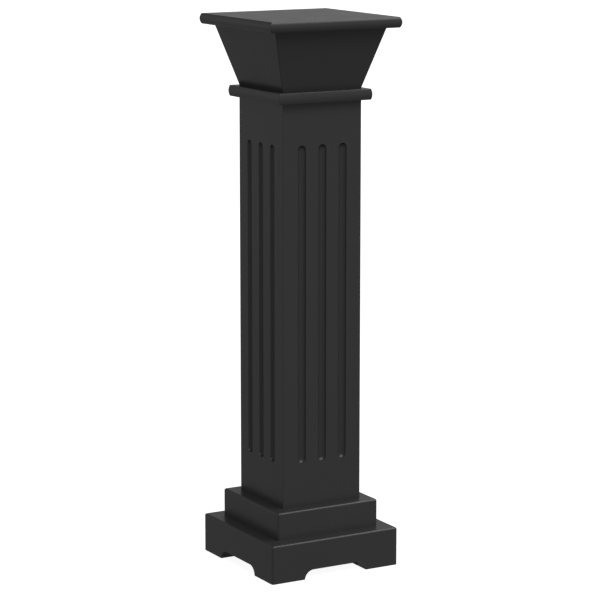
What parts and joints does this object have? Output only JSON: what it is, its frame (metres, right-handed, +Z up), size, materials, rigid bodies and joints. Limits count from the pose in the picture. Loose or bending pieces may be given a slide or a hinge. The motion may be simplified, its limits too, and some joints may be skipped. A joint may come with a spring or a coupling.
{
  "type": "display plinth",
  "caption": "Square column display stand with an arched two-tier base, fluted hollow shaft, flared capital and flat square top.",
  "frame": {"origin": "on the floor, under the middle of the square base", "axes": "+Z up along the column's axis; -Y is the front, +X is the right; the four sides are alike"},
  "size_m": [0.1752, 0.1752, 0.66],
  "materials": {
    "black_lacquer": "satin",
    "black_foot": "matt",
    "raw_board": "matt",
    "softwood": "matt",
    "zinc_screw": "zinc plated"
  },
  "bodies": {
    "root": {"base_deck": "raw_board", "base_screws": "zinc_screw", "base_skirt_back": "black_lacquer", "base_skirt_front": "black_lacquer", "base_skirt_left": "black_lacquer", "base_skirt_right": "black_lacquer", "capital_foot_plate": "raw_board", "capital_head_plate": "raw_board", "capital_panel_back": "black_lacquer", "capital_panel_front": "black_lacquer", "capital_panel_left": "black_lacquer", "capital_panel_right": "black_lacquer", "capital_screws": "zinc_screw", "foot_block_back_left": "black_foot", "foot_block_back_right": "black_foot", "foot_block_front_left": "black_foot", "foot_block_front_right": "black_foot", "neck_moulding": "black_lacquer", "neck_screws": "zinc_screw", "plinth_block_back_left": "softwood", "plinth_block_back_right": "softwood", "plinth_block_front_left": "softwood", "plinth_block_front_right": "softwood", "plinth_deck": "raw_board", "plinth_rail_back": "black_lacquer", "plinth_rail_front": "black_lacquer", "plinth_rail_left": "black_lacquer", "plinth_rail_right": "black_lacquer", "shaft_batten_back_left": "softwood", "shaft_batten_back_right": "softwood", "shaft_batten_front_left": "softwood", "shaft_batten_front_right": "softwood", "shaft_foot_block": "raw_board", "shaft_head_block": "raw_board", "shaft_panel_back": "black_lacquer", "shaft_panel_front": "black_lacquer", "shaft_panel_left": "black_lacquer", "shaft_panel_right": "black_lacquer", "shaft_screws": "zinc_screw", "top_board": "black_lacquer", "top_screws": "zinc_screw"}
  },
  "joints": []
}
